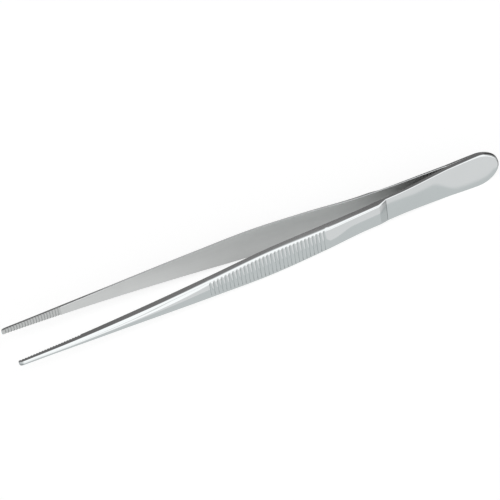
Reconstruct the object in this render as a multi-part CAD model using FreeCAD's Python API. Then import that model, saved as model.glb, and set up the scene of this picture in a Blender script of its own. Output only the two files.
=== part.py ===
import FreeCAD, Part
import math
import os

# Thumb forceps: two forged steel arms, welded face to face at the butt and sprung apart at the jaws.
# X runs from the jaws to the butt, Y across the opening, Z up. It lies on its narrow edges.
# The origin is under the middle of the bounding box. Lengths are in millimetres, angles in degrees.

# Lengths, measured along the instrument
OVERALL_LENGTH = 146.0
WELD_LENGTH = 16.0  # butt end to the fork, where the arms are one
SPRING_LENGTH = 19.8  # fork to the shoulder, milled thin
RAMP_LENGTH = 2.8  # shoulder ramp from the thin leaf up to the thick arm
WAIST_SETBACK = 6.7  # narrowest place, ahead of the shoulder
GRIP_SETBACK = 20.3  # last grip groove, ahead of the shoulder

# Grip grooves across the outer face of each arm
GROOVE_COUNT = 31
GROOVE_PITCH = 1.16
GROOVE_WIDTH = 0.8  # across its top, at the crest of the outer face
GROOVE_FLOOR_WIDTH = 0.4
GROOVE_DEPTH = 0.3

# Jaw serrations across the inner face of each arm
FRONT_TEETH = 22
REAR_TEETH = 21
TOOTH_PITCH = 0.79
JAW_LEAD = 0.5  # plain nose in front of the teeth
TOOTH_ROOT_DEPTH = 0.2
TOOTH_GROOVE_WIDTH = 0.56
JAW_RELIEF = 0.1  # the crests lie this far below the plain inner face

# Gap between the inner faces at rest
TIP_GAP = 13.7
JAW_END_GAP = 13.3
TAPER_GAP = 12.62
GRIP_START_GAP = 11.4
GRIP_MIDDLE_GAP = 9.6
GRIP_END_GAP = 6.98
WAIST_GAP = 4.5
SHOULDER_GAP = 3.48
WELD_DRAFT = 0.08  # how fast the inner faces would cross behind the fork, per mm

# Widths across the inner face
TIP_WIDTH = 1.45
JAW_END_WIDTH = 2.78
TAPER_WIDTH = 4.8
GRIP_START_WIDTH = 7.08
GRIP_WIDEST = 9.0
GRIP_END_WIDTH = 8.52
WAIST_WIDTH = 7.7
SHOULDER_WIDTH = 7.95
FORK_WIDTH = 10.2
BUTT_WIDTH = 10.8

# Thickness of the narrow side faces
TIP_SIDE = 0.85
TAPER_SIDE = 1.1
GRIP_SIDE = 0.88
GRIP_END_SIDE = 1.2
WAIST_SIDE = 1.14
SHOULDER_SIDE = 1.25  # stock deep enough for the spring leaf to be milled from
TIP_LEAN = 0.12  # how far a side face leans in from the inner to the outer edge
ARM_LEAN = 0.36

# Rounded long edges of the outer face: their rise above the side face and their run across the width
TIP_EDGE_RISE = 0.22
TAPER_EDGE_RISE = 0.45
GRIP_EDGE_RISE = 0.58
WAIST_EDGE_RISE = 0.4
TIP_EDGE_RUN = 0.22
TAPER_EDGE_RUN = 0.6
GRIP_EDGE_RUN = 0.9
WAIST_EDGE_RUN = 0.8

# Rise of the crowned outer face between its rounded edges
TIP_CROWN = 0.12
TAPER_CROWN = 0.3
GRIP_CROWN = 0.16
WAIST_CROWN = 0.12

# Spring leaf and butt end
LEAF_THICKNESS = 0.75  # at the shoulder
BUTT_THICKNESS = 1.1  # of each arm at the weld
BUTT_ROUND_LENGTH = 7.0
LEAF_EDGE_RADIUS = 0.22
LEAF_KNOTS = (0.0, 0.3, 0.6, 0.85)  # shares of the leaf's length that its outer curve is drawn through
LEAF_RUN_OUT = 1.9  # behind the fork, where that curve meets the flat butt

# Nose of each jaw
NOSE_RADIUS = 0.35  # of its corners, seen across the opening
NOSE_CORNER_LENGTH = 1.2
NOSE_CORNER_DEPTH = 0.8

RAMP_FOOT_RADIUS = 0.4

SECTION_COUNT = 19
STOCK_OVERRUN = 1.5  # length of blank past each end, trimmed away
CUT_MARGIN = 4.0  # how far the cutters reach past the stock
TOLERANCE = 0.001

MIDDLE = FreeCAD.Vector(0, 0, 0)
ACROSS = FreeCAD.Vector(0, 1, 0)

# Places along the instrument, from the tips
FORK = OVERALL_LENGTH - WELD_LENGTH
SHOULDER = FORK - SPRING_LENGTH
WAIST = SHOULDER - WAIST_SETBACK
GRIP_END = SHOULDER - GRIP_SETBACK
GRIP_START = GRIP_END - (GROOVE_COUNT - 1) * GROOVE_PITCH
GRIP_MIDDLE = (GRIP_START + GRIP_END) / 2
JAW_END = JAW_LEAD + FRONT_TEETH * TOOTH_PITCH
TAPER_MIDDLE = (JAW_END + GRIP_START) / 2
BUTT_SHOULDER = OVERALL_LENGTH - BUTT_ROUND_LENGTH

WELD_OVERLAP = WELD_LENGTH * WELD_DRAFT

GAP_LAW = (
    (0.0, TIP_GAP / 2),
    (JAW_END, JAW_END_GAP / 2),
    (TAPER_MIDDLE, TAPER_GAP / 2),
    (GRIP_START, GRIP_START_GAP / 2),
    (GRIP_MIDDLE, GRIP_MIDDLE_GAP / 2),
    (GRIP_END, GRIP_END_GAP / 2),
    (WAIST, WAIST_GAP / 2),
    (SHOULDER, SHOULDER_GAP / 2),
    (FORK, 0.0),
    (OVERALL_LENGTH, -WELD_OVERLAP),
)
WIDTH_LAW = (
    (0.0, TIP_WIDTH / 2),
    (JAW_END, JAW_END_WIDTH / 2),
    (TAPER_MIDDLE, TAPER_WIDTH / 2),
    (GRIP_START, GRIP_START_WIDTH / 2),
    (GRIP_MIDDLE, GRIP_WIDEST / 2),
    (GRIP_END, GRIP_END_WIDTH / 2),
    (WAIST, WAIST_WIDTH / 2),
    (SHOULDER, SHOULDER_WIDTH / 2),
    (FORK, FORK_WIDTH / 2),
    (BUTT_SHOULDER, BUTT_WIDTH / 2),
    (OVERALL_LENGTH, BUTT_WIDTH / 2),
)
SIDE_LAW = (
    (0.0, TIP_SIDE),
    (JAW_END, TAPER_SIDE),
    (TAPER_MIDDLE, TAPER_SIDE),
    (GRIP_MIDDLE, GRIP_SIDE),
    (GRIP_END, GRIP_END_SIDE),
    (WAIST, WAIST_SIDE),
    (SHOULDER, SHOULDER_SIDE),
    (FORK, WAIST_SIDE + BUTT_THICKNESS),
    (OVERALL_LENGTH, WAIST_SIDE + BUTT_THICKNESS + WELD_OVERLAP),
)
CROWN_LAW = (
    (0.0, TIP_CROWN),
    (TAPER_MIDDLE, TAPER_CROWN),
    (GRIP_MIDDLE, GRIP_CROWN),
    (WAIST, WAIST_CROWN),
    (OVERALL_LENGTH, WAIST_CROWN),
)
EDGE_RISE_LAW = (
    (0.0, TIP_EDGE_RISE),
    (TAPER_MIDDLE, TAPER_EDGE_RISE),
    (GRIP_MIDDLE, GRIP_EDGE_RISE),
    (WAIST, WAIST_EDGE_RISE),
    (OVERALL_LENGTH, WAIST_EDGE_RISE),
)
EDGE_RUN_LAW = (
    (0.0, TIP_EDGE_RUN),
    (TAPER_MIDDLE, TAPER_EDGE_RUN),
    (GRIP_MIDDLE, GRIP_EDGE_RUN),
    (WAIST, WAIST_EDGE_RUN),
    (OVERALL_LENGTH, WAIST_EDGE_RUN),
)
LEAN_LAW = ((0.0, TIP_LEAN), (JAW_END, ARM_LEAN), (OVERALL_LENGTH, ARM_LEAN))


def along(law, station):
    """Value of a size at a station, on a smooth curve through the law's points."""
    places = [place for place, _ in law]
    values = [value for _, value in law]
    spans = [b - a for a, b in zip(places, places[1:])]
    grades = [(b - a) / span for a, b, span in zip(values, values[1:], spans)]
    slopes = [grades[0]]
    for (before, after), (near, far) in zip(zip(grades, grades[1:]), zip(spans, spans[1:])):
        slopes.append((before * far + after * near) / (near + far))
    slopes.append(grades[-1])
    index = 0
    while index < len(spans) - 1 and station > places[index + 1]:
        index += 1
    span = spans[index]
    t = (station - places[index]) / span
    if t < 0:
        return values[index] + slopes[index] * (station - places[index])
    if t > 1:
        return values[index + 1] + slopes[index + 1] * (station - places[index + 1])
    return (
        (1 + 2 * t) * (1 - t) ** 2 * values[index]
        + t * (1 - t) ** 2 * span * slopes[index]
        + t * t * (3 - 2 * t) * values[index + 1]
        + t * t * (t - 1) * span * slopes[index + 1]
    )


def at(station, across, up):
    """Point at a station from the tips, a distance across from the mid-plane and up from the axis."""
    return FreeCAD.Vector(station - OVERALL_LENGTH / 2, across, up + BUTT_WIDTH / 2)


def crest(station):
    """Distance of the outer face from the mid-plane, on its middle line, before the leaf is milled."""
    laws = (GAP_LAW, SIDE_LAW, EDGE_RISE_LAW, CROWN_LAW)
    return sum(along(law, station) for law in laws)


def curve(*poles):
    """Edge of one smooth curve that starts and ends along its outline of control points."""
    bezier = Part.BezierCurve()
    bezier.setPoles(list(poles))
    return bezier.toShape()


def section(station):
    """Closed section of the front arm: flat inner face, leaning sides and a crowned, round-edged outer face."""
    gap = along(GAP_LAW, station)
    side = along(SIDE_LAW, station)
    rise = along(EDGE_RISE_LAW, station)
    run = along(EDGE_RUN_LAW, station)
    crown = along(CROWN_LAW, station)
    draft = along(LEAN_LAW, station) / TAPER_SIDE
    half = along(WIDTH_LAW, station) + max(0.0, -gap) * draft
    edge = half - side * draft
    crown_half = edge - run
    slope = 2 * crown / crown_half
    corner = (rise - slope * run) / (1 - slope * draft)

    def place(out, up):
        return at(station, -gap - out, up)

    top = place(side + rise + 2 * crown, 0)
    edges = [
        Part.makeLine(place(0, -half), place(0, half)),
        Part.makeLine(place(0, half), place(side, edge)),
    ]
    high = [place(side, edge), place(side + corner, edge - corner * draft), place(side + rise, crown_half)]
    low = [place(side + rise, -crown_half), place(side + corner, corner * draft - edge), place(side, -edge)]
    edges += [curve(*high), curve(high[-1], top, low[0]), curve(*low)]
    edges.append(Part.makeLine(low[-1], place(0, -half)))
    return Part.Wire(edges)


def prism(outline, low, high):
    """Solid between two heights, of a closed outline of points or edges in the XY plane."""
    wire = Part.Wire(outline)
    face = Part.Face(wire)
    face.translate(FreeCAD.Vector(0, 0, low))
    return face.extrude(FreeCAD.Vector(0, 0, high - low))


def leaf_outer(station):
    """Distance of the leaf's outer face from the mid-plane."""
    share = (station - SHOULDER) / SPRING_LENGTH
    thickness = LEAF_THICKNESS + (BUTT_THICKNESS - LEAF_THICKNESS) * share
    return along(GAP_LAW, station) + thickness


def leaf_cutter():
    """The stock that is milled off outside the spring leaf, with the shoulder ramp at its front."""
    ramp_top = SHOULDER - RAMP_LENGTH
    outside = crest(ramp_top) + CUT_MARGIN
    rise = (crest(ramp_top) - leaf_outer(SHOULDER)) / RAMP_LENGTH
    reach = ramp_top - CUT_MARGIN / rise
    knots = [SHOULDER + SPRING_LENGTH * share for share in LEAF_KNOTS]
    points = [at(knot, -leaf_outer(knot), 0) for knot in knots]
    corner = points[0]
    back = (at(ramp_top, -crest(ramp_top), 0) - corner).normalize()
    ahead = (points[1] - corner).normalize()
    bisector = (back + ahead).normalize()
    half_angle = back.getAngle(ahead) / 2
    setback = RAMP_FOOT_RADIUS / math.tan(half_angle)
    depth = RAMP_FOOT_RADIUS / math.sin(half_angle) - RAMP_FOOT_RADIUS
    points[0] = corner + ahead * setback
    foot_start = corner + back * setback
    foot_middle = corner + bisector * depth
    points.append(at(FORK + LEAF_RUN_OUT, -BUTT_THICKNESS, 0))
    flat_start = points[-1]
    flat_end = at(OVERALL_LENGTH + 2 * STOCK_OVERRUN, -BUTT_THICKNESS, 0)
    outer = Part.BSplineCurve()
    outer.interpolate(Points=points, InitialTangent=ahead, FinalTangent=FreeCAD.Vector(1, 0, 0))
    far_end = at(OVERALL_LENGTH + 2 * STOCK_OVERRUN, -outside, 0)
    far_start = at(reach, -outside, 0)
    edges = [
        outer.toShape(),
        Part.makeLine(flat_start, flat_end),
        Part.makeLine(flat_end, far_end),
        Part.makeLine(far_end, far_start),
        Part.makeLine(far_start, foot_start),
        Part.Arc(foot_start, foot_middle, points[0]).toShape(),
    ]
    return prism(edges, -BUTT_WIDTH, BUTT_WIDTH)


def butt_cutter():
    """Stock outside the half-elliptical end of the butt, seen across the opening."""
    half = BUTT_WIDTH / 2
    across = BUTT_WIDTH * 2
    centre = at(BUTT_SHOULDER, 0, 0)
    if BUTT_ROUND_LENGTH > half:
        oval = Part.Ellipse(at(BUTT_SHOULDER - BUTT_ROUND_LENGTH, 0, 0), at(BUTT_SHOULDER, 0, half), centre)
    else:
        oval = Part.Ellipse(at(BUTT_SHOULDER, 0, half), at(OVERALL_LENGTH, 0, 0), centre)
    face = Part.Face(Part.Wire(oval.toShape()))
    face.translate(FreeCAD.Vector(0, -across, 0))
    core = face.extrude(FreeCAD.Vector(0, 2 * across, 0))
    corner = at(BUTT_SHOULDER, -across, -across)
    length = BUTT_ROUND_LENGTH + 2 * STOCK_OVERRUN
    return Part.makeBox(length, 2 * across, 2 * across, corner).cut(core)


def nose_cutter():
    """Stock outside the blunt end of the nose and its two rounded corners, seen across the opening."""
    flat_half = along(WIDTH_LAW, NOSE_RADIUS) - NOSE_RADIUS
    across = BUTT_WIDTH * 2
    corner = at(-2 * STOCK_OVERRUN, -across, -across)
    stock = Part.makeBox(NOSE_RADIUS + 2 * STOCK_OVERRUN, 2 * across, 2 * across, corner)
    core = Part.makeBox(NOSE_RADIUS * 2, 2 * across, 2 * flat_half, at(0, -across, -flat_half))
    top = Part.makeCylinder(NOSE_RADIUS, 2 * across, at(NOSE_RADIUS, -across, flat_half), ACROSS)
    bottom = Part.makeCylinder(NOSE_RADIUS, 2 * across, at(NOSE_RADIUS, -across, -flat_half), ACROSS)
    return stock.cut([core, top, bottom])


def nose_corner_cutter():
    """Stock outside the rounded outer corner of the nose, seen along the axis Z."""
    outer = crest(0)
    tangent = at(NOSE_CORNER_LENGTH, -outer, 0)
    tip = at(0, NOSE_CORNER_DEPTH - outer, 0)
    centre = at(NOSE_CORNER_LENGTH, NOSE_CORNER_DEPTH - outer, 0)
    oval = Part.Ellipse(centre * 2 - tip, centre * 2 - tangent, centre)
    core = prism(oval.toShape(), -BUTT_WIDTH, BUTT_WIDTH)
    corner = FreeCAD.Vector(tip.x - 2 * STOCK_OVERRUN, tangent.y - CUT_MARGIN, -BUTT_WIDTH)
    width = tangent.x - corner.x
    depth = tip.y - corner.y
    return Part.makeBox(width, depth, 2 * BUTT_WIDTH, corner).cut(core)


def edges_between(shape, first, last, keep):
    """Edges whose ends lie between two stations and whose middle point passes a test."""
    low = at(first, 0, 0).x
    high = at(last, 0, 0).x
    found = []
    for edge in shape.Edges:
        middle = edge.valueAt((edge.FirstParameter + edge.LastParameter) / 2)
        if all(low <= vertex.X <= high for vertex in edge.Vertexes) and keep(edge, middle):
            found.append(edge)
    return found


def across_the_arm(edge):
    """Whether an edge runs straight across the width, as the ramp's edges do."""
    ends = [vertex.Point for vertex in edge.Vertexes]
    return len(ends) == 2 and abs(ends[0].x - ends[1].x) < TOLERANCE < abs(ends[0].z - ends[1].z)


def rounded(blank):
    """The blank with the polished edges of its leaf and butt."""
    leaf_edges = edges_between(
        blank,
        SHOULDER - TOLERANCE,
        OVERALL_LENGTH + TOLERANCE,
        lambda edge, middle: middle.y < -BUTT_THICKNESS / 2 and not across_the_arm(edge),
    )
    return blank.makeFillet(LEAF_EDGE_RADIUS, leaf_edges)


def arm_blank():
    """The front arm before its teeth and grooves are cut."""
    start = -STOCK_OVERRUN
    step = (OVERALL_LENGTH + 2 * STOCK_OVERRUN) / (SECTION_COUNT - 1)
    sections = [section(start + step * count) for count in range(SECTION_COUNT)]
    blank = Part.makeLoft(sections, True, False)
    across = TIP_GAP + CUT_MARGIN
    length = OVERALL_LENGTH + 4 * STOCK_OVERRUN
    corner = at(-2 * STOCK_OVERRUN, 0, -2 * BUTT_WIDTH)
    blank = blank.cut(Part.makeBox(length, across, 4 * BUTT_WIDTH, corner))
    blank = blank.cut(leaf_cutter())
    blank = blank.cut(butt_cutter())
    blank = blank.cut(nose_cutter())
    blank = blank.cut(nose_corner_cutter())
    return rounded(blank)


def grip_cutters():
    """Grooves across the outer face, with sloping walls and a narrow floor, one cutter for each."""
    floor_half = GROOVE_FLOOR_WIDTH / 2
    rate = (GROOVE_WIDTH / 2 - floor_half) / GROOVE_DEPTH
    mouth_half = GROOVE_WIDTH / 2 + rate * GROOVE_DEPTH
    cutters = []
    for count in range(GROOVE_COUNT):
        station = GRIP_START + count * GROOVE_PITCH
        floor = GROOVE_DEPTH - crest(station)
        mouth = -GROOVE_DEPTH - crest(station)
        outline = [
            at(station - mouth_half, mouth, 0),
            at(station - floor_half, floor, 0),
            at(station + floor_half, floor, 0),
            at(station + mouth_half, mouth, 0),
        ]
        outline.append(outline[0])
        cutters.append(prism([Part.makePolygon(outline)], -BUTT_WIDTH, BUTT_WIDTH))
    return cutters


def crest_line(station):
    """Point on the tooth crests of the front jaw, a little below its plain inner face."""
    return at(station, -along(GAP_LAW, station) - JAW_RELIEF, 0)


def jaw_cutter(teeth):
    """Relief and V grooves across the inner face of a jaw, for a length of so many teeth."""
    end = JAW_LEAD + teeth * TOOTH_PITCH
    above = FreeCAD.Vector(0, CUT_MARGIN, 0)
    outline = [crest_line(-STOCK_OVERRUN) + above, crest_line(-STOCK_OVERRUN)]
    roots = [end - (count + 0.5) * TOOTH_PITCH for count in range(int(teeth))]
    for root in sorted(root for root in roots if root > TOOTH_PITCH):
        outline.append(crest_line(root - TOOTH_GROOVE_WIDTH / 2))
        outline.append(crest_line(root) - FreeCAD.Vector(0, TOOTH_ROOT_DEPTH, 0))
        outline.append(crest_line(root + TOOTH_GROOVE_WIDTH / 2))
    outline += [crest_line(end), crest_line(end + JAW_RELIEF) + above, outline[0]]
    return prism([Part.makePolygon(outline)], -BUTT_WIDTH, BUTT_WIDTH)


def main():
    """Builds both arms and writes one STEP file for each."""
    os.makedirs("parts", exist_ok=True)
    blank = arm_blank()
    grooved = blank.cut(grip_cutters())
    arms = {
        "front_arm": grooved.cut(jaw_cutter(FRONT_TEETH)),
        "rear_arm": grooved.cut(jaw_cutter(REAR_TEETH - 0.5)).mirror(MIDDLE, ACROSS),
    }
    for name, arm in arms.items():
        print(name, arm.isValid(), len(arm.Solids), len(arm.Faces), round(arm.Volume, 2))
        arm.exportStep(os.path.join("parts", name + ".step"))


main()
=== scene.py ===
import logging
import math
from dataclasses import dataclass, field
from enum import Enum
from typing import Any

import bpy
import numpy as np
from mathutils import Matrix, Vector


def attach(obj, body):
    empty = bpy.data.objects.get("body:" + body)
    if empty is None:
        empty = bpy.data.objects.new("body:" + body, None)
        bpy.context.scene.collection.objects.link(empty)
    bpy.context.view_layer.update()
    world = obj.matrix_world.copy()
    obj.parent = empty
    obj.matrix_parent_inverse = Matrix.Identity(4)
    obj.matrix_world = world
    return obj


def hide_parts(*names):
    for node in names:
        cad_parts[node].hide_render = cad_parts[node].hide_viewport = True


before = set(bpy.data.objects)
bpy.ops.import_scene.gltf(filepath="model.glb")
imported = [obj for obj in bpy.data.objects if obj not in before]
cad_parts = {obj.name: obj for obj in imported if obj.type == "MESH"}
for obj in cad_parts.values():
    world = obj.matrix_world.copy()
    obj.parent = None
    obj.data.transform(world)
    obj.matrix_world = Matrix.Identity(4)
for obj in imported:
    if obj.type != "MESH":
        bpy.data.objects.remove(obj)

# Thumb forceps of polished steel. An arm's sizes are in millimetres, and a station is a distance
# from the jaw tips. Meshes, and places in the materials, are in metres.
MM = 0.001
TINY = 1e-6
MERGE_DISTANCE = 2e-7
NOISE_MIDDLE = 0.5
WHITE = (1.0, 1.0, 1.0, 1.0)
LOG = logging.getLogger("forceps")
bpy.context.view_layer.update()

Points = tuple[tuple[float, float], ...]
Span = tuple[float, float]


def smooth_low(first: np.ndarray, second: np.ndarray, blend: float) -> np.ndarray:
    """Lower of two surfaces, with their meeting rounded.

    Args:
        first: Heights of the first surface.
        second: Heights of the second surface.
        blend: Height over which the meeting is rounded.

    Returns:
        The lower height at each place.
    """
    near = np.clip(0.5 + 0.5 * (second - first) / blend, 0.0, 1.0)
    return second + (first - second) * near - blend * near * (1.0 - near)


@dataclass(frozen=True)
class Law:
    """A size that changes smoothly along the arm, as a curve through a few points."""

    points: Points

    def __call__(self, station: np.ndarray) -> np.ndarray:
        """Value of the size at each station.

        Args:
            station: Distances from the jaw tips.

        Returns:
            The size at those distances.
        """
        places, values = (np.array(row) for row in zip(*self.points))
        spans = np.diff(places)
        grades = np.diff(values) / spans
        inner = (grades[:-1] * spans[1:] + grades[1:] * spans[:-1]) / (spans[:-1] + spans[1:])
        slopes = np.concatenate(([grades[0]], inner, [grades[-1]]))
        index = np.clip(np.searchsorted(places, station, side="left") - 1, 0, len(spans) - 1)
        span = spans[index]
        share = np.clip((station - places[index]) / span, 0.0, 1.0)
        past = station - places[index] - share * span
        rest = 1.0 - share
        return (
            (1 + 2 * share) * rest**2 * values[index]
            + share * rest**2 * span * slopes[index]
            + share**2 * (3 - 2 * share) * values[index + 1]
            - share**2 * rest * span * slopes[index + 1]
            + past * np.where(share > 0.5, slopes[index + 1], slopes[index])
        )


class Surface(Enum):
    """Surfaces of an arm that are finished in their own way. The value is the material's index."""

    OUTER = 0
    NARROW = 1
    INNER = 2
    JAW = 3


class Landmark(Enum):
    """Places along an arm, from the tip to the butt."""

    JAW_END = "jaw end"
    GRIP_START = "grip start"
    GRIP_END = "grip end"
    RAMP_TOP = "ramp top"
    SHOULDER = "shoulder"
    FORK = "fork"
    BUTT = "butt"


@dataclass(frozen=True)
class Stretch:
    """Run of evenly spaced mesh rows between two landmarks, each with an offset from it."""

    start: Landmark
    start_offset: float
    end: Landmark
    end_offset: float
    step: float


ROW_STRETCHES: tuple[Stretch, ...] = (
    Stretch(Landmark.JAW_END, 0.6, Landmark.GRIP_START, -1.2, 0.9),
    Stretch(Landmark.GRIP_START, -0.9, Landmark.GRIP_END, 0.9, 0.1),
    Stretch(Landmark.GRIP_END, 1.3, Landmark.SHOULDER, -5.0, 0.8),
    Stretch(Landmark.SHOULDER, -4.5, Landmark.SHOULDER, 1.5, 0.12),
    Stretch(Landmark.RAMP_TOP, -0.2, Landmark.RAMP_TOP, 0.2, 0.04),
    Stretch(Landmark.SHOULDER, -0.4, Landmark.SHOULDER, 0.3, 0.03),
    Stretch(Landmark.SHOULDER, 1.8, Landmark.FORK, -1.0, 0.8),
    Stretch(Landmark.FORK, -0.6, Landmark.FORK, 1.0, 0.2),
    Stretch(Landmark.FORK, 1.4, Landmark.BUTT, 0.0, 0.6),
)


@dataclass(frozen=True)
class Grip:
    """Row of round-bottomed grooves milled across the outer face."""

    first: float = 55.1
    count: int = 31
    pitch: float = 1.16
    radius: float = 0.41
    depth: float = 0.3
    lip: float = 0.07
    clear_of_inner: float = 0.5

    def stations(self) -> np.ndarray:
        """Middle of each groove."""
        return self.first + self.pitch * np.arange(self.count)


@dataclass(frozen=True)
class Jaw:
    """Serrated inner face at the tips."""

    teeth: float = 22.0
    lead: float = 0.5
    pitch: float = 0.79
    depth: float = 0.2
    width: float = 0.56
    relief: float = 0.1
    row_shares: tuple[float, ...] = (-0.5, -0.25, 0.0, 0.25, 0.5)

    @property
    def end(self) -> float:
        """Where the serrations stop and the plain inner face begins."""
        return self.lead + self.teeth * self.pitch

    def roots(self) -> np.ndarray:
        """Bottom of each V groove, the first of them a pitch or more behind the tip."""
        roots = self.end - (np.arange(int(self.teeth)) + 0.5) * self.pitch
        return np.sort(roots[roots > self.pitch])

    def drop(self, station: np.ndarray) -> np.ndarray:
        """How far the inner face lies below its plain surface.

        Args:
            station: Distances from the tips.

        Returns:
            The depth at those distances.
        """
        nearest = np.min(np.abs(station[..., None] - self.roots()), axis=-1)
        groove = self.depth * np.clip(1.0 - nearest / (self.width / 2), 0.0, 1.0)
        past = (self.end + self.relief - station) / self.relief
        return groove + self.relief * np.clip(past, 0.0, 1.0)


@dataclass
class Arm:
    """One arm of the forceps: butt, spring leaf, shoulder ramp, grooved grip and tapered jaw.

    A section has a flat inner face, a narrow side face that leans inwards, a rounded edge with a
    rise and a run, and a slightly crowned outer face. The laws give those sizes along the arm.
    """

    name: str
    side: int
    jaw: Jaw
    grip: Grip = field(default_factory=Grip)
    length: float = 146.0
    weld: float = 16.0
    spring: float = 19.8
    ramp: float = 2.8
    nose: float = 0.35
    nose_corner: tuple[float, float] = (1.2, 0.8)
    nose_rows: int = 14
    butt_round: float = 7.0
    butt_half: float = 5.4
    butt_middle: float = 0.62
    butt_rows: int = 36
    leaf_at_shoulder: float = 0.75
    leaf_at_butt: float = 1.1
    leaf_edge_law: Law = Law(
        ((0.0, 0.26), (126.0, 0.26), (130.0, 0.26), (139.0, 0.42), (146.0, 0.48))
    )
    leaf_run_law: Law = Law(
        ((0.0, 0.26), (126.0, 0.26), (130.0, 0.26), (139.0, 0.5), (146.0, 0.8))
    )
    leaf_crown: float = 0.06
    crown_fade: int = 4
    ramp_blend: float = 0.07
    ramp_step: float = 0.08
    ramp_step_before: float = 0.36
    ramp_step_length: float = 0.26
    inner_edge: float = 0.09
    jaw_edge: float = 0.02
    jaw_edge_past: float = 0.3
    jaw_face_past: float = 0.01
    weld_edge: float = 0.001
    gap_law: Law = Law(
        ((0.0, 6.85), (17.88, 6.65), (36.49, 6.31), (55.1, 5.7), (72.5, 4.8), (89.9, 3.49),
         (103.5, 2.25), (110.2, 1.74), (130.0, 0.0), (146.0, -1.28))
    )
    width_law: Law = Law(
        ((0.0, 0.725), (17.88, 1.39), (36.49, 2.4), (55.1, 3.54), (72.5, 4.5), (89.9, 4.26),
         (103.5, 3.85), (110.2, 3.975), (130.0, 5.1), (139.0, 5.4), (146.0, 5.4))
    )
    side_law: Law = Law(
        ((0.0, 0.85), (17.88, 1.1), (36.49, 1.1), (72.5, 0.62), (89.9, 1.0), (103.5, 1.14),
         (110.2, 1.25), (146.0, 1.25))
    )
    rise_law: Law = Law(
        ((0.0, 0.22), (36.49, 0.45), (72.5, 0.84), (89.9, 0.69), (103.5, 0.4), (146.0, 0.4))
    )
    run_law: Law = Law(((0.0, 0.22), (36.49, 0.6), (72.5, 0.9), (103.5, 0.8), (146.0, 0.8)))
    crown_law: Law = Law(((0.0, 0.12), (36.49, 0.3), (72.5, 0.16), (103.5, 0.12), (146.0, 0.12)))
    lean_law: Law = Law(
        ((0.0, 0.1), (17.88, 0.37), (36.49, 0.47), (55.1, 0.52), (60.0, 0.53), (72.5, 0.51),
         (89.9, 0.46), (103.5, 0.4), (120.0, 0.33), (146.0, 0.29))
    )
    trim_law: Law = Law(
        ((0.0, 0.0), (103.0, 0.0), (106.0, 0.0), (110.0, 0.2), (116.0, 1.0), (124.0, 1.0),
         (132.0, 0.4), (138.0, 0.0), (140.0, 0.0), (146.0, 0.0))
    )
    leaf_trim: float = 0.0
    most_rise: float = 0.45
    usable_reach: float = 0.8
    most_run: float = 0.6
    most_lean: float = 0.3
    most_edge: float = 0.2
    least_corner: float = 0.3
    chamfer_depth: float = 1.1
    chamfer_height: float = 0.78
    inner_columns: int = 7
    side_columns: int = 3
    round_columns: int = 9
    crown_columns: int = 8
    row_decimals: int = 4
    smooth_angle: float = 35.0

    @property
    def fork(self) -> float:
        """Where the arms part."""
        return self.length - self.weld

    @property
    def shoulder(self) -> float:
        """Foot of the ramp, where the spring leaf begins."""
        return self.fork - self.spring

    def place(self, landmark: Landmark) -> float:
        """Station of a landmark.

        Args:
            landmark: The landmark.

        Returns:
            Its distance from the tips.
        """
        return {
            Landmark.JAW_END: self.jaw.end,
            Landmark.GRIP_START: self.grip.first,
            Landmark.GRIP_END: float(self.grip.stations()[-1]),
            Landmark.RAMP_TOP: self.shoulder - self.ramp,
            Landmark.SHOULDER: self.shoulder,
            Landmark.FORK: self.fork,
            Landmark.BUTT: self.length - self.butt_round,
        }[landmark]

    def rows(self) -> np.ndarray:
        """Stations of the mesh's rows in front of the butt, close together where the form is fine.

        Returns:
            The stations, in order.
        """
        turn = np.linspace(0.0, math.pi / 2, self.nose_rows)
        runs = [length * (1.0 - np.cos(turn)) for length in (self.nose, self.nose_corner[0])]
        runs += [self.jaw.roots() + share * self.jaw.width for share in self.jaw.row_shares]
        runs.append(np.array([self.jaw.end, self.jaw.end + self.jaw.relief]))
        for stretch in ROW_STRETCHES:
            start = self.place(stretch.start) + stretch.start_offset
            end = self.place(stretch.end) + stretch.end_offset
            runs.append(np.arange(start, end, stretch.step))
        return np.unique(np.round(np.concatenate(runs), self.row_decimals))

    def outline(self) -> tuple[np.ndarray, np.ndarray, np.ndarray]:
        """Edge of the arm's flat outline and the middle point that each row runs from.

        Returns:
            For each row, the edge's station, the edge's height and the middle point's station.
        """
        station = self.rows()
        near = np.clip(1.0 - station / self.nose, 0.0, 1.0)
        half = self.width_law(station) - self.nose * (1.0 - np.sqrt(1.0 - near**2))
        half = half - self.leaf_trim * np.maximum(self.trim_law(station), 0.0)
        station = np.concatenate(([0.0], station))
        half = np.concatenate(([0.0], half))
        turn = np.linspace(0.0, math.pi / 2, self.butt_rows)
        start = self.length - self.butt_round
        edge = np.concatenate((station, start + self.butt_round * np.sin(turn)))
        middle = start + self.butt_middle * self.butt_round * np.sin(turn)
        middle = np.concatenate((station, middle))
        return edge, np.concatenate((half, self.butt_half * np.cos(turn))), middle

    def gap(self, station: np.ndarray) -> np.ndarray:
        """Distance of the plain inner face from the mid-plane."""
        return np.maximum(self.gap_law(station), 0.0)

    def crest(self, station: np.ndarray) -> np.ndarray:
        """Distance of the thick arm's outer face from the mid-plane, on its middle line."""
        plain = self.gap(station) + self.side_law(station) + self.rise_law(station)
        return plain + self.crown_law(station)

    def leaf(self, station: np.ndarray) -> np.ndarray:
        """Thickness of the spring leaf and the butt."""
        share = np.clip((station - self.shoulder) / self.spring, 0.0, 1.0)
        return self.leaf_at_shoulder + (self.leaf_at_butt - self.leaf_at_shoulder) * share

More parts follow.
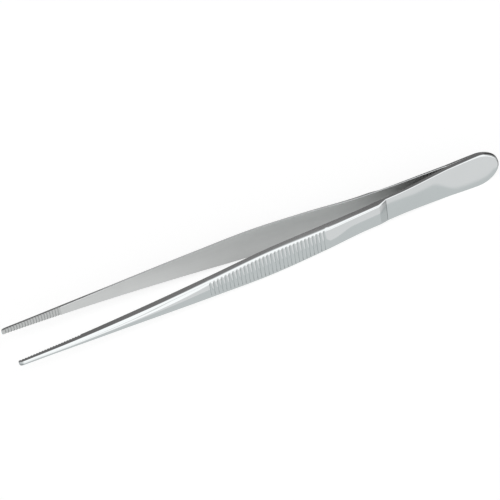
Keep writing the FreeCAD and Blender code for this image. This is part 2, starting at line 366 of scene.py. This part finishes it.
    def ramp_height(self, station: np.ndarray) -> np.ndarray:
        """Thickness that the plane of the ramp gives, with the small step at its foot.

        Args:
            station: Distances from the tips.

        Returns:
            The thickness at those distances. It counts only where it is between leaf and arm.
        """
        shoulder = np.array(self.shoulder)
        top = float(self.crest(np.array(self.shoulder - self.ramp)))
        foot = float(self.gap(shoulder) + self.leaf(shoulder))
        slope = (foot - top) / self.ramp
        ramp = top + slope * (station - self.shoulder + self.ramp) - self.gap(station)
        step = (station - self.shoulder + self.ramp_step_before) / self.ramp_step_length
        step = np.clip(step, 0.0, 1.0)
        return ramp - self.ramp_step * step * step * (3.0 - 2.0 * step)

    def heights(self, station: np.ndarray) -> dict[str, np.ndarray]:
        """Sizes of the section at each place, with the milled leaf and its ramp worked in.

        Args:
            station: Distances from the tips.

        Returns:
            The side face's height, the rounded edge's rise and run, the crown, the lean of the
            side face and the size of the inner edge's chamfer.
        """
        thick = self.crest(station) - self.gap(station)
        leaf = self.leaf(station)
        total = smooth_low(thick, self.ramp_height(station), self.ramp_blend)
        total = -smooth_low(-total, -leaf, self.ramp_blend)
        share = np.clip((total - leaf) / (thick - leaf), 0.0, 1.0)
        length, depth = self.nose_corner
        back = np.clip(1.0 - station / length, 0.0, 1.0)
        total = total - depth * (1.0 - np.sqrt(1.0 - back**2))
        leaf_edge = self.leaf_edge_law(station)
        rise = leaf_edge + (self.rise_law(station) - leaf_edge) * share
        rise = np.minimum(rise, self.most_rise * total)
        thick_crown = (self.crown_law(station) - self.leaf_crown) * share**self.crown_fade
        crown = self.leaf_crown + thick_crown
        in_jaw = station < self.jaw.end + self.jaw_edge_past
        edge = np.where(in_jaw, self.jaw_edge, self.inner_edge)
        return {
            "side": total - rise - crown,
            "rise": rise,
            "run": self.leaf_run_law(station) * (1.0 - share) + self.run_law(station) * share,
            "crown": crown,
            "lean": self.lean_law(station),
            "edge": np.where(station > self.fork, self.weld_edge, edge),
        }

    def half_section(self) -> tuple[np.ndarray, np.ndarray, np.ndarray, np.ndarray]:
        """Upper half of every row, from the middle of the inner face round to the crest.

        Returns:
            Station, distance from the mid-plane and height of each point, and each column's
            surface.
        """
        edge, half, middle = self.outline()
        reach = np.hypot(edge - middle, half)
        reach = np.maximum(reach, TINY)[:, None]
        along = ((middle - edge)[:, None]) / reach
        down = (-half[:, None]) / reach
        sizes = self.heights(edge[:, None])
        side, rise, crown = sizes["side"], sizes["rise"], sizes["crown"]
        limit = self.usable_reach * reach
        run = np.minimum(sizes["run"], self.most_run * limit)
        lean = np.minimum(sizes["lean"], self.most_lean * limit / np.maximum(side, TINY))
        small = np.minimum(sizes["edge"], self.most_edge * limit)
        crown_half = np.maximum(reach - lean * side - run, TINY)
        slope = 2.0 * crown / crown_half
        corner = (rise - slope * run) / (1.0 - slope * lean)
        corner = np.maximum(corner, self.least_corner * rise)
        drop = self.jaw.drop(edge)[:, None]
        columns: list[tuple[np.ndarray, np.ndarray, Surface]] = []
        for share in np.linspace(0.0, 1.0, self.inner_columns):
            depth = reach + (self.chamfer_depth * small - reach) * share
            columns.append((depth, drop + 0 * reach, Surface.INNER))
        columns.append((small, drop + 0 * reach, Surface.INNER))
        chamfer = self.chamfer_height * small
        for share in np.linspace(0.0, 1.0, self.side_columns):
            height = drop + chamfer + (side - drop - chamfer) * share
            columns.append((lean * height, height, Surface.NARROW))
        for share in np.linspace(0.0, 1.0, self.round_columns)[1:]:
            rest = 1.0 - share
            depth = (
                rest**2 * lean * side
                + 2 * rest * share * lean * (side + corner)
                + share**2 * (lean * side + run)
            )
            height = (
                rest**2 * side
                + 2 * rest * share * (side + corner)
                + share**2 * (side + rise)
            )
            columns.append((depth, height, Surface.OUTER))
        for share in np.linspace(0.0, 1.0, self.crown_columns)[1:]:
            depth = lean * side + run + crown_half * share
            height = side + rise + crown * (1.0 - (1.0 - share) ** 2)
            columns.append((depth, height, Surface.OUTER))
        depth = np.concatenate([column[0] for column in columns], axis=1)
        height = np.concatenate([column[1] for column in columns], axis=1)
        station = edge[:, None] + along * depth
        up = half[:, None] + down * depth
        out = self.gap(station) + height
        marks = np.array([column[2].value for column in columns])
        return station, self.milled(station, out), np.maximum(up, 0.0), marks

    def milled(self, station: np.ndarray, out: np.ndarray) -> np.ndarray:
        """Distance from the mid-plane after the grip grooves are milled.

        Args:
            station: Distances from the tips.
            out: Distances from the mid-plane before milling.

        Returns:
            The distances with the grooves in them.
        """
        grip = self.grip
        places = grip.stations()
        nearest = places[np.argmin(np.abs(station[..., None] - places), axis=-1)]
        offset = np.clip(np.abs(station - nearest) / grip.radius, 0.0, 1.0)
        wall = grip.radius * (1.0 - np.sqrt(1.0 - offset**2))
        floor = self.crest(nearest) - grip.depth + wall
        cut = (offset < 1.0) & (out > self.gap(station) + grip.clear_of_inner)
        return np.where(cut, smooth_low(out, floor, grip.lip), out)

    def face_surfaces(self, marks: np.ndarray, rows: int) -> np.ndarray:
        """Material of every face of the grid.

        Args:
            marks: Surface of each column of points, all round the section.
            rows: Number of rows of points.

        Returns:
            The material's index for each face, row by row.
        """
        inner, jaw, outer = Surface.INNER.value, Surface.JAW.value, Surface.OUTER.value
        first, second = marks[:-1], marks[1:]
        touches_outer = (first == outer) | (second == outer)
        across = np.where(touches_outer, np.minimum(first, second), np.maximum(first, second))
        faces = np.tile(across, rows - 1)
        jaw_end = self.jaw.end + self.jaw.relief + self.jaw_face_past
        in_jaw = np.repeat(self.outline()[0][1:] <= jaw_end, len(across))
        faces = np.where((faces == inner) & in_jaw, jaw, faces)
        for chamfer in (self.inner_columns, len(across) - 1 - self.inner_columns):
            faces[chamfer :: len(across)] = outer
        return faces.astype(np.int32)

    def build(self, finishes: "list[bpy.types.Material]") -> bpy.types.Object:
        """Models the arm: a grid is laid round the section, row by row, and closed along its seam.

        Args:
            finishes: The materials, in the order of Surface.

        Returns:
            The finished piece.
        """
        station, out, up, marks = self.half_section()
        back = slice(-2, 0, -1)
        loop = [(station, out, up), (station[:, back], out[:, back], -up[:, back])]
        loop = [np.concatenate([half[axis] for half in loop], axis=1) for axis in range(3)]
        station, out, up = (np.concatenate((part, part[:, :1]), axis=1) for part in loop)
        marks = np.concatenate((marks, marks[back], marks[:1]))
        rows, columns = station.shape
        bpy.ops.object.select_all(action="DESELECT")
        bpy.ops.mesh.primitive_grid_add(
            x_subdivisions=columns - 1, y_subdivisions=rows - 1, size=1.0
        )
        piece = bpy.context.active_object
        piece.name = self.name
        mesh = piece.data
        mesh.name = self.name
        places = np.stack(
            (station - self.length / 2, out * self.side, up + self.butt_half), axis=-1
        )
        mesh.vertices.foreach_set("co", (places * MM).reshape(-1))
        for finish in finishes:
            mesh.materials.append(finish)
        mesh.polygons.foreach_set("material_index", self.face_surfaces(marks, rows))
        mesh.update()
        bpy.ops.object.mode_set(mode="EDIT")
        bpy.ops.mesh.select_all(action="SELECT")
        bpy.ops.mesh.remove_doubles(threshold=MERGE_DISTANCE)
        bpy.ops.mesh.normals_make_consistent(inside=False)
        bpy.ops.object.mode_set(mode="OBJECT")
        bpy.ops.object.shade_smooth_by_angle(angle=math.radians(self.smooth_angle))
        return piece


class Value:
    """A shader value that can be used in plain expressions."""

    def __init__(self, tree: "Tree", socket: Any) -> None:
        """Wraps an output socket of a node tree."""
        self.tree = tree
        self.socket = socket

    def _math(self, operation: str, first: Any, second: Any) -> "Value":
        """Adds a Math node for an operation on two values."""
        return self.tree.add("ShaderNodeMath", {"operation": operation}, {0: first, 1: second})

    def __add__(self, other: Any) -> "Value":
        """Sum."""
        return self._math("ADD", self, other)

    def __sub__(self, other: Any) -> "Value":
        """Difference."""
        return self._math("SUBTRACT", self, other)

    def __mul__(self, other: Any) -> "Value":
        """Product."""
        return self._math("MULTIPLY", self, other)

    def __radd__(self, other: Any) -> "Value":
        """Sum with a number in front."""
        return self._math("ADD", other, self)

    def __rsub__(self, other: Any) -> "Value":
        """Difference with a number in front."""
        return self._math("SUBTRACT", other, self)

    def __rmul__(self, other: Any) -> "Value":
        """Product with a number in front."""
        return self._math("MULTIPLY", other, self)

    def beside(self, output: str) -> "Value":
        """Another output of the same node."""
        return Value(self.tree, self.socket.node.outputs[output])

    def ramp(self, span: Span) -> "Value":
        """Smooth rise from zero at the start of a span to one at its end.

        Args:
            span: The start and the end.

        Returns:
            The share of the rise.
        """
        settings = {"interpolation_type": "SMOOTHSTEP"}
        values = {"Value": self, "From Min": span[0], "From Max": span[1]}
        return self.tree.add("ShaderNodeMapRange", settings, values)


class Tree:
    """Builds the node tree of a material or of the world."""

    def __init__(self, nodes: bpy.types.NodeTree) -> None:
        """Starts from an empty tree."""
        self.nodes = nodes
        self.nodes.nodes.clear()

    def add(
        self, kind: str, settings: dict[str, Any], values: dict[Any, Any], output: Any = 0
    ) -> Value:
        """Adds a node.

        Args:
            kind: The node's type.
            settings: Properties of the node, set before its sockets.
            values: Values or links of its input sockets, by name or place.
            output: The output that is returned, by name or place.

        Returns:
            The wrapped output.
        """
        node = self.nodes.nodes.new(kind)
        for key, value in settings.items():
            setattr(node, key, value)
        for key, value in values.items():
            if isinstance(value, Value):
                self.nodes.links.new(value.socket, node.inputs[key])
            else:
                node.inputs[key].default_value = value
        return Value(self, node.outputs[output] if len(node.outputs) else None)


@dataclass(frozen=True)
class Steel:
    """Finish of a steel surface: colour, gloss, grinding lines and the waves that polishing leaves.

    A span is a stretch along the forceps, in metres from its middle, over which something sets in
    or fades. The painted rear shade darkens the colour along the arm towards the butt, the painted
    tip shade darkens the colour at the very tip, and the painted top light makes the colour lighter
    high on the arm and darker low on it; all three are painted light and shade, not the steel's own
    colour. The twist is a large, smooth bump that turns parts of a face a little and so sets where
    reflections change.
    """

    name: str
    colour: tuple[float, float, float]
    roughness: float
    spread: float = 0.05
    tint: float = 0.03
    line_height: float = 0.0015
    line_count: float = 9000.0
    line_stretch: float = 0.02
    line_detail: float = 2.0
    line_roughness: float = 0.6
    patch_size: float = 160.0
    patch_detail: float = 3.0
    wave_height: float = 0.0
    wave_size: float = 90.0
    wave_detail: float = 1.0
    # Painted shade: how much the colour darkens along the arm towards the butt, and where it sets
    # in.
    painted_rear_shade: float = 0.0
    painted_rear_shade_start: Span = (-0.038, 0.0)
    # Painted shade at the very tip, and where it ends.
    painted_tip_shade: float = 0.0
    painted_tip_shade_end: Span = (-0.0724, -0.0716)
    # Painted light and shade by height: how much lighter the colour is high on the arm and darker
    # low on it, the height where it turns, and the stretch along the arm where it acts.
    painted_top_light: float = 0.0
    painted_top_light_height: float = 0.0035
    painted_top_light_start: Span = (-0.03, 0.0)
    painted_top_light_end: Span = (0.025, 0.045)
    twist: float = 0.0
    twist_height: float = 0.0054
    twist_base: float = -0.8
    butt_start: Span = (0.0515, 0.0592)
    leaf_start: Span = (0.039, 0.047)
    leaf_twist: float = 0.25
    grip_start: Span = (-0.019, -0.017)
    grip_twist: float = 0.7
    waist_start: Span = (0.0174, 0.0184)
    waist_twist: float = 1.0
    waist_end: Span = (0.0195, 0.026)

    def shade(self, lines: Value, patches: Value, along: Value, across: Value) -> Value:
        """How much lighter than the colour the steel is at each place.

        Args:
            lines: Noise of the grinding lines.
            patches: Coarser noise.
            along: Place along the forceps.
            across: Height above the floor.

        Returns:
            The amount that is added to the colour: a random tone, with painted shade and painted
                light.
        """
        noise = (lines - NOISE_MIDDLE) * self.tint + (patches - NOISE_MIDDLE) * self.tint
        # Painted shade: the colour darkens along the arm, from the taper back to the butt.
        shade = noise - self.painted_rear_shade * along.ramp(self.painted_rear_shade_start)
        # Painted light and shade: the colour is lighter high on the arm and darker low on it, over
        # a stretch in the middle of the forceps.
        painted_top_light = self.painted_top_light * (across - self.painted_top_light_height) * along.ramp(self.painted_top_light_start)
        shade = shade + painted_top_light * (1.0 - along.ramp(self.painted_top_light_end))
        # Painted shade: the colour darkens at the very tip of the arm.
        return shade - self.painted_tip_shade * (1.0 - along.ramp(self.painted_tip_shade_end))

    def lean(self, along: Value) -> Value:
        """How far the twist turns the surface at each place along the forceps.

        Args:
            along: Place along the forceps.

        Returns:
            The lean, in parts of the twist.
        """
        leaf = along.ramp(self.butt_start) + self.leaf_twist * along.ramp(self.leaf_start)
        grip = self.grip_twist * along.ramp(self.grip_start)
        grip = grip + self.waist_twist * along.ramp(self.waist_start)
        return leaf + self.twist_base + grip * (1.0 - along.ramp(self.waist_end))

    def make(self) -> bpy.types.Material:
        """Makes the material.

        Returns:
            A steel material with procedural grinding lines.
        """
        material = bpy.data.materials.new(self.name)
        material.use_nodes = True
        tree = Tree(material.node_tree)
        place = tree.add("ShaderNodeTexCoord", {}, {}, "Object")
        stretched = tree.add(
            "ShaderNodeMapping",
            {"vector_type": "POINT"},
            {"Vector": place, "Scale": (self.line_stretch, 1.0, 1.0)},
        )
        lines = tree.add(
            "ShaderNodeTexNoise",
            {"noise_dimensions": "3D"},
            {
                "Vector": stretched,
                "Scale": self.line_count,
                "Detail": self.line_detail,
                "Roughness": self.line_roughness,
            },
        )
        patches = tree.add(
            "ShaderNodeTexNoise",
            {},
            {"Vector": place, "Scale": self.patch_size, "Detail": self.patch_detail},
        )
        waves = tree.add(
            "ShaderNodeTexNoise",
            {},
            {"Vector": place, "Scale": self.wave_size, "Detail": self.wave_detail},
        )
        along = tree.add("ShaderNodeSeparateXYZ", {}, {"Vector": place}, "X")
        across = along.beside("Z")
        shade = self.shade(lines, patches, along, across)
        rough = self.roughness + (lines - NOISE_MIDDLE) * self.spread
        rough = rough + (patches - NOISE_MIDDLE) * self.spread
        red, green, blue = (part + shade for part in self.colour)
        colour = tree.add("ShaderNodeCombineColor", {}, {0: red, 1: green, 2: blue})
        twist = (across - self.twist_height) * self.lean(along) * self.twist
        bow = waves * (self.wave_height * MM) - twist
        coarse = tree.add("ShaderNodeBump", {}, {"Strength": 1.0, "Distance": 1.0, "Height": bow})
        normal = tree.add(
            "ShaderNodeBump",
            {},
            {
                "Strength": 1.0,
                "Distance": self.line_height * MM,
                "Height": lines,
                "Normal": coarse,
            },
        )
        surface = tree.add(
            "ShaderNodeBsdfPrincipled",
            {},
            {"Base Color": colour, "Metallic": 1.0, "Roughness": rough, "Normal": normal},
        )
        tree.add("ShaderNodeOutputMaterial", {}, {"Surface": surface})
        return material


FINISHES: dict[Surface, Steel] = {
    Surface.OUTER: Steel(
        "polished_steel",
        (0.79, 0.815, 0.82),
        roughness=0.05,
        spread=0.01,
        line_height=0.0006,
        wave_height=0.02,
        twist=0.027,
        # Painted shade at the very tip of the outer face.
        painted_tip_shade=0.35,
    ),
    Surface.NARROW: Steel("narrow_side_steel", (0.80, 0.80, 0.80), roughness=0.2),
    Surface.INNER: Steel(
        "ground_inner_steel",
        (0.775, 0.78, 0.775),
        roughness=0.45,
        line_height=0.0006,
        line_count=2600.0,
        tint=0.05,
        # Painted shade along the inner face, darker towards the butt.
        painted_rear_shade=0.15,
        # Painted light high on the inner face and painted shade low on it.
        painted_top_light=32.0,
    ),
    Surface.JAW: Steel("jaw_steel", (0.74, 0.745, 0.74), roughness=0.2),
}


@dataclass(frozen=True)
class Studio:
    """Plain pale floor, soft dome of light and the camera.

    The dome's levels are by direction, in parts of plain white. A span is a stretch of one part of
    the direction, across, in depth or in height, over which a level sets in or fades.
    """

    floor_size: float = 4.0
    floor_colour: tuple[float, float, float, float] = (0.86, 0.86, 0.86, 1.0)
    shadow_share: float = 0.5
    white_level: float = 1.58
    near_floor: float = 0.63
    far_floor: float = 0.78
    far_start: Span = (-0.624, -0.616)
    floor_end: Span = (-0.42, -0.36)
    right_fall: float = 0.14
    right_start: Span = (0.52, 0.66)
    edge_fall: float = 0.6
    floor_edge_start: Span = (0.705, 0.735)
    wall_edge_start: Span = (0.7, 0.76)
    behind_floor: float = 1.05
    behind_start: Span = (0.3, 0.6)
    behind_end: Span = (0.3, 0.4)
    horizon_fall: float = 0.5
    horizon_start: Span = (-0.1, 0.0)
    horizon_end: Span = (0.0, 0.1)
    cool: float = 0.035
    front: float = 1.2
    front_end: Span = (-0.25, 0.15)
    overhead: float = 0.2
    overhead_start: Span = (0.76, 0.985)
    back: float = 0.16
    back_low: float = 0.5
    back_start: Span = (-0.2, -0.05)
    turn: float = 18.22
    elevation: float = 39.0
    roll: float = 9.2
    distance: float = 605.8
    focal: float = 2232.0
    frame_width: float = 500.0
    sensor_width: float = 36.0
    clip: Span = (0.01, 20.0)
    shift: tuple[float, float] = (11.3, 2.0)
    target_height: float = 5.35

    def floor(self) -> None:
        """Lays the floor. The camera sees it white, with a faint shadow of the forceps."""
        bpy.ops.object.select_all(action="DESELECT")
        bpy.ops.mesh.primitive_plane_add(size=self.floor_size, location=(0.0, 0.0, 0.0))
        floor = bpy.context.active_object
        floor.name = "floor"
        material = bpy.data.materials.new("floor")
        material.use_nodes = True
        tree = Tree(material.node_tree)
        camera = tree.add("ShaderNodeLightPath", {}, {}, "Is Camera Ray")
        card = tree.add("ShaderNodeBsdfDiffuse", {}, {"Color": self.floor_colour})
        white = tree.add(
            "ShaderNodeEmission", {}, {"Color": WHITE, "Strength": self.white_level}
        )
        share = camera * (1.0 - self.shadow_share)
        mixed = tree.add("ShaderNodeMixShader", {}, {0: share, 1: card, 2: white})
        tree.add("ShaderNodeOutputMaterial", {}, {"Surface": mixed})
        floor.data.materials.append(material)
        floor.visible_glossy = False

    def below(self, side: Value, depth: Value, far: Value) -> Value:
        """Level of the dome where it stands for the floor.

        Args:
            side: The direction's part to the right.
            depth: The direction's part to the back.
            far: One for the far part of the floor and zero for the near part.

        Returns:
            The level.
        """
        level = self.near_floor + (self.far_floor - self.near_floor) * far
        level = level * (1.0 - self.right_fall * side.ramp(self.right_start))
        level = level * (1.0 - self.edge_fall * side.ramp(self.floor_edge_start))
        behind = (self.behind_floor - level) * depth.ramp(self.behind_start)
        return level + behind * (1.0 - side.ramp(self.behind_end))

    def above(self, side: Value, depth: Value, height: Value) -> Value:
        """Level of the dome above the floor.

        Args:
            side: The direction's part to the right.
            depth: The direction's part to the back.
            height: The direction's part upwards.

        Returns:
            The level.
        """
        in_front = 1.0 - depth.ramp(self.front_end)
        front = self.front + (self.overhead - self.front) * height.ramp(self.overhead_start)
        back = self.back_low + (self.back - self.back_low) * height.ramp(self.back_start)
        horizon = height.ramp(self.horizon_start) * (1.0 - height.ramp(self.horizon_end))
        level = back + (front - back) * in_front - self.horizon_fall * horizon * in_front
        return level * (1.0 - self.edge_fall * side.ramp(self.wall_edge_start))

    def light(self) -> None:
        """Sets the dome: pale in front, dim overhead and behind, and grey where the floor is."""
        world = bpy.data.worlds.new("studio")
        bpy.context.scene.world = world
        world.use_nodes = True
        tree = Tree(world.node_tree)
        look = tree.add("ShaderNodeTexCoord", {}, {}, "Generated")
        side = tree.add("ShaderNodeSeparateXYZ", {}, {"Vector": look}, "X")
        depth, height = side.beside("Y"), side.beside("Z")
        camera = tree.add("ShaderNodeLightPath", {}, {}, "Is Camera Ray")
        far = height.ramp(self.far_start)
        floor = self.below(side, depth, far)
        level = floor + (self.above(side, depth, height) - floor) * height.ramp(self.floor_end)
        level = level + (1.0 - level) * camera
        red = 1.0 - self.cool * (1.0 - far) * (1.0 - camera)
        colour = tree.add("ShaderNodeCombineColor", {}, {0: red, 1: 1.0, 2: 1.0})
        sky = tree.add("ShaderNodeBackground", {}, {"Color": colour, "Strength": level})
        tree.add("ShaderNodeOutputWorld", {}, {"Surface": sky})

    def camera(self) -> None:
        """Places the camera at the photograph's view."""
        turn, tilt, roll = (math.radians(angle) for angle in (self.turn, self.elevation, self.roll))
        look = Vector(
            (math.cos(tilt) * math.sin(turn), math.cos(tilt) * math.cos(turn), -math.sin(tilt))
        )
        level = Vector((math.cos(turn), -math.sin(turn), 0.0))
        upward = level.cross(look)
        right = math.cos(roll) * level - math.sin(roll) * upward
        above = math.sin(roll) * level + math.cos(roll) * upward
        data = bpy.data.cameras.new("camera")
        camera = bpy.data.objects.new("camera", data)
        bpy.context.scene.collection.objects.link(camera)
        data.sensor_width = self.sensor_width
        data.lens = self.focal / self.frame_width * data.sensor_width
        data.shift_x = -self.shift[0] / self.frame_width
        data.shift_y = self.shift[1] / self.frame_width
        data.clip_start, data.clip_end = self.clip
        place = Vector((0.0, 0.0, self.target_height * MM)) - self.distance * MM * look
        axes = Matrix((right, above, -look)).transposed().to_4x4()
        camera.matrix_world = Matrix.Translation(place) @ axes
        bpy.context.scene.camera = camera


ARMS: dict[str, Arm] = {
    "front_arm": Arm("front_arm_skin", side=-1, jaw=Jaw(teeth=22.0), leaf_trim=0.22),
    "rear_arm": Arm("rear_arm_skin", side=1, jaw=Jaw(teeth=20.5)),
}


def main() -> None:
    """Builds the stage and both arms, and reports each piece."""
    logging.basicConfig(level=logging.INFO, format="%(name)s: %(message)s")
    bpy.context.scene.view_settings.view_transform = "Standard"
    studio = Studio()
    studio.camera()
    studio.floor()
    studio.light()
    finishes = [FINISHES[surface].make() for surface in Surface]
    for node, arm in ARMS.items():
        piece = arm.build(finishes)
        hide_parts(node)
        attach(piece, "root")
        LOG.info("%s: %d faces", piece.name, len(piece.data.polygons))


if __name__ == "__main__":
    main()
